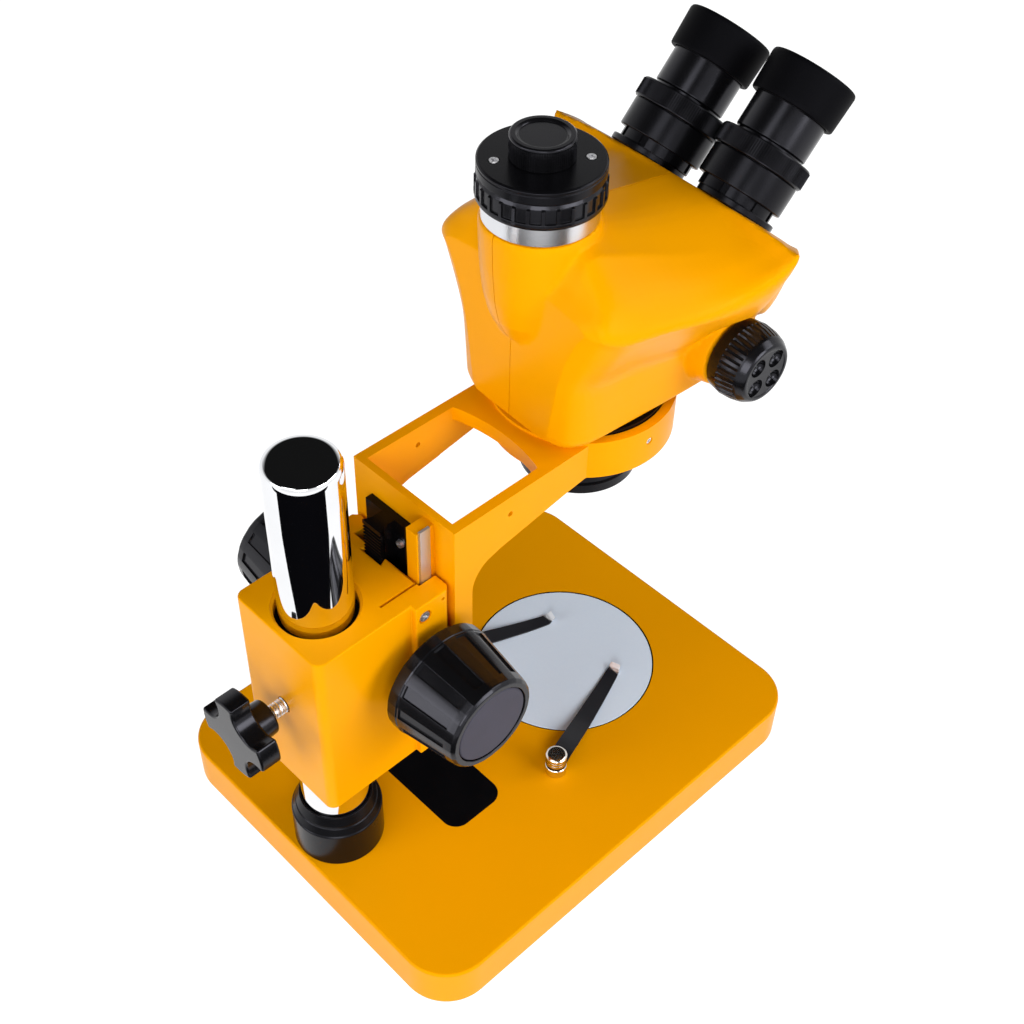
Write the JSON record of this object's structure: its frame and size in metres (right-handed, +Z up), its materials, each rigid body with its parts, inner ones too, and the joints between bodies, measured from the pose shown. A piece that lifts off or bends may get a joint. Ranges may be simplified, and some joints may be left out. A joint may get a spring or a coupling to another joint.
{
  "type": "trinocular stereo microscope",
  "caption": "Trinocular zoom stereo microscope on a pillar stand: swivelling head with tilted eyepieces and camera port, rack focus arm, round stage plate with spring clips.",
  "frame": {"origin": "centre of the footprint of the whole instrument, on the plane the rubber feet stand on", "axes": "+Z up along the column, -Y towards the user and the eyepieces, +X to the user's right"},
  "size_m": [0.2, 0.3166, 0.3584],
  "materials": {
    "yellow_paint": "smooth amber yellow enamel",
    "black_gloss": "moulded, glossy",
    "black_satin": "anodised, satin",
    "black_rubber": "matt",
    "dark_grey": "finely grained",
    "chrome": "mirror polished",
    "steel": "bright zinc or machined",
    "nickel": "nickel plated",
    "brass": "turned",
    "stage_white": "matt white",
    "spring_black": "blackened spring steel",
    "glass": "coated optical glass",
    "aluminium": "turned bright"
  },
  "bodies": {
    "stand": {"base_plate": "yellow_paint", "foot_front_right": "black_rubber", "foot_front_left": "black_rubber", "foot_rear_right": "black_rubber", "foot_rear_left": "black_rubber", "stage_plate": "stage_white", "column": "chrome", "column_flange": "black_satin", "column_bolt": "steel", "column_washer": "steel"},
    "clip_right": {"clip_post_right": "nickel", "clip_leaf_right": "spring_black"},
    "clip_left": {"clip_post_left": "nickel", "clip_leaf_left": "spring_black"},
    "liner": {"column_liner": "black_satin"},
    "block": {"focus_block": "yellow_paint", "gib_screw": "steel", "focus_bush_right": "brass", "focus_bush_left": "brass"},
    "clamp_tip": {"clamp_pad": "brass"},
    "clamp_handle": {"clamp_stud": "steel", "clamp_knob": "black_satin"},
    "focus_drive": {"pinion_shaft": "steel", "focus_knob_right": "black_gloss", "focus_knob_left": "black_gloss", "focus_cap_right": "dark_grey", "focus_cap_left": "dark_grey"},
    "arm": {"arm_bracket": "yellow_paint", "rack_slider": "black_satin", "gib_strip": "steel", "slider_screw_upper": "steel", "slider_screw_lower": "steel", "head_lock_screw": "steel"},
    "head": {"head_housing_right": "yellow_paint", "head_housing_left": "yellow_paint", "objective_barrel": "black_satin", "front_lens": "glass", "port_collar": "aluminium", "port_disc": "black_gloss", "port_screw_a": "steel", "port_screw_b": "steel"},
    "camera_ring": {"port_ring": "black_gloss"},
    "port_cap": {"dust_cap": "black_gloss"},
    "zoom_drive": {"zoom_shaft": "steel", "zoom_knob_right": "black_gloss", "zoom_knob_left": "black_gloss"},
    "zoom_low": {"zoom_carriage_lower": "black_satin"},
    "zoom_high": {"zoom_carriage_upper": "black_satin"},
    "eye_right": {"eye_tube_right": "black_satin"},
    "eye_left": {"eye_tube_left": "black_satin"},
    "diopter_right": {"diopter_ring_right": "black_satin"},
    "diopter_left": {"diopter_ring_left": "black_satin"},
    "eyepiece_right": {"ocular_right": "black_gloss", "eyecup_right": "black_rubber", "eye_lens_right": "glass"},
    "eyepiece_left": {"ocular_left": "black_gloss", "eyecup_left": "black_rubber", "eye_lens_left": "glass"}
  },
  "joints": [
    {"name": "clip_turn_right", "type": "hinge", "parent": "stand", "child": "clip_right", "pos_m": [0.0483, 0.01038, 0.03], "axis": [0, 0, 1], "range_deg": [-15, 100]},
    {"name": "clip_turn_left", "type": "hinge", "parent": "stand", "child": "clip_left", "pos_m": [-0.0483, 0.01038, 0.03], "axis": [0, 0, 1], "range_deg": [-100, 15]},
    {"name": "column_slide", "type": "slide", "parent": "stand", "child": "liner", "axis": [0, 0, 1], "range_m": [-0.031, 0.075]},
    {"name": "column_swivel", "type": "hinge", "parent": "liner", "child": "block", "pos_m": [0, 0.10958, 0.14], "axis": [0, 0, 1], "continuous": true},
    {"name": "clamp_feed", "type": "slide", "parent": "block", "child": "clamp_tip", "axis": [0, 1, 0], "range_m": [0, 0.0019]},
    {"name": "clamp_turn", "type": "hinge", "parent": "clamp_tip", "child": "clamp_handle", "pos_m": [0, 0.135, 0.1404], "axis": [0, 1, 0], "range_deg": [0, 540]},
    {"name": "focus_slide", "type": "slide", "parent": "block", "child": "arm", "axis": [0, 0, 1], "range_m": [-0.025, 0.025]},
    {"name": "focus_turn", "type": "hinge", "parent": "block", "child": "focus_drive", "pos_m": [0, 0.07868, 0.1492], "axis": [1, 0, 0], "range_deg": [-342, 342]},
    {"name": "head_swivel", "type": "hinge", "parent": "arm", "child": "head", "pos_m": [0, -0.04382, 0.22], "axis": [0, 0, 1], "continuous": true},
    {"name": "port_ring_turn", "type": "hinge", "parent": "head", "child": "camera_ring", "pos_m": [0.00154, -0.01436, 0.3335], "axis": [0, 0, 1], "continuous": true},
    {"name": "dust_cap_lift", "type": "slide", "parent": "head", "child": "port_cap", "axis": [0, 0, 1], "range_m": [0, 0.025]},
    {"name": "zoom_turn", "type": "hinge", "parent": "head", "child": "zoom_drive", "pos_m": [-0.00206, -0.08317, 0.2465], "axis": [0.9986, -0.0523, 0], "range_deg": [-135, 135]},
    {"name": "zoom_slide_low", "type": "slide", "parent": "head", "child": "zoom_low", "axis": [0, 0, 1], "range_m": [-0.006, 0.006]},
    {"name": "zoom_slide_high", "type": "slide", "parent": "head", "child": "zoom_high", "axis": [0, 0, 1], "range_m": [-0.006, 0.006]},
    {"name": "eye_swing_right", "type": "hinge", "parent": "head", "child": "eye_right", "pos_m": [0.02441, -0.13222, 0.3321], "axis": [-0.0352, -0.6708, 0.7408], "range_deg": [0, 120]},
    {"name": "eye_swing_left", "type": "hinge", "parent": "head", "child": "eye_left", "pos_m": [-0.03351, -0.12918, 0.3321], "axis": [-0.0352, -0.6708, 0.7408], "range_deg": [-120, 0]},
    {"name": "diopter_turn_right", "type": "hinge", "parent": "eye_right", "child": "diopter_right", "pos_m": [0.01891, -0.13193, 0.3321], "axis": [-0.0352, -0.6708, 0.7408], "range_deg": [-80, 240]},
    {"name": "diopter_turn_left", "type": "hinge", "parent": "eye_left", "child": "diopter_left", "pos_m": [-0.02802, -0.12947, 0.3321], "axis": [-0.0352, -0.6708, 0.7408], "range_deg": [-80, 240]},
    {"name": "diopter_slide_right", "type": "slide", "parent": "eye_right", "child": "eyepiece_right", "axis": [-0.0352, -0.6708, 0.7408], "range_m": [-0.001, 0.003]},
    {"name": "diopter_slide_left", "type": "slide", "parent": "eye_left", "child": "eyepiece_left", "axis": [-0.0352, -0.6708, 0.7408], "range_m": [-0.001, 0.003]}
  ],
  "couplings": [
    {"joint": "clamp_feed", "follows": "clamp_turn", "m_per_rad": 0.00019894},
    {"joint": "focus_turn", "follows": "focus_slide", "rad_per_m": -238.1},
    {"joint": "zoom_slide_low", "follows": "zoom_turn", "m_per_rad": 0.0025},
    {"joint": "zoom_slide_high", "follows": "zoom_turn", "m_per_rad": -0.0025},
    {"joint": "eye_swing_left", "follows": "eye_swing_right", "ratio": -1},
    {"joint": "diopter_slide_right", "follows": "diopter_turn_right", "m_per_rad": 0.00071},
    {"joint": "diopter_slide_left", "follows": "diopter_turn_left", "m_per_rad": 0.00071}
  ]
}
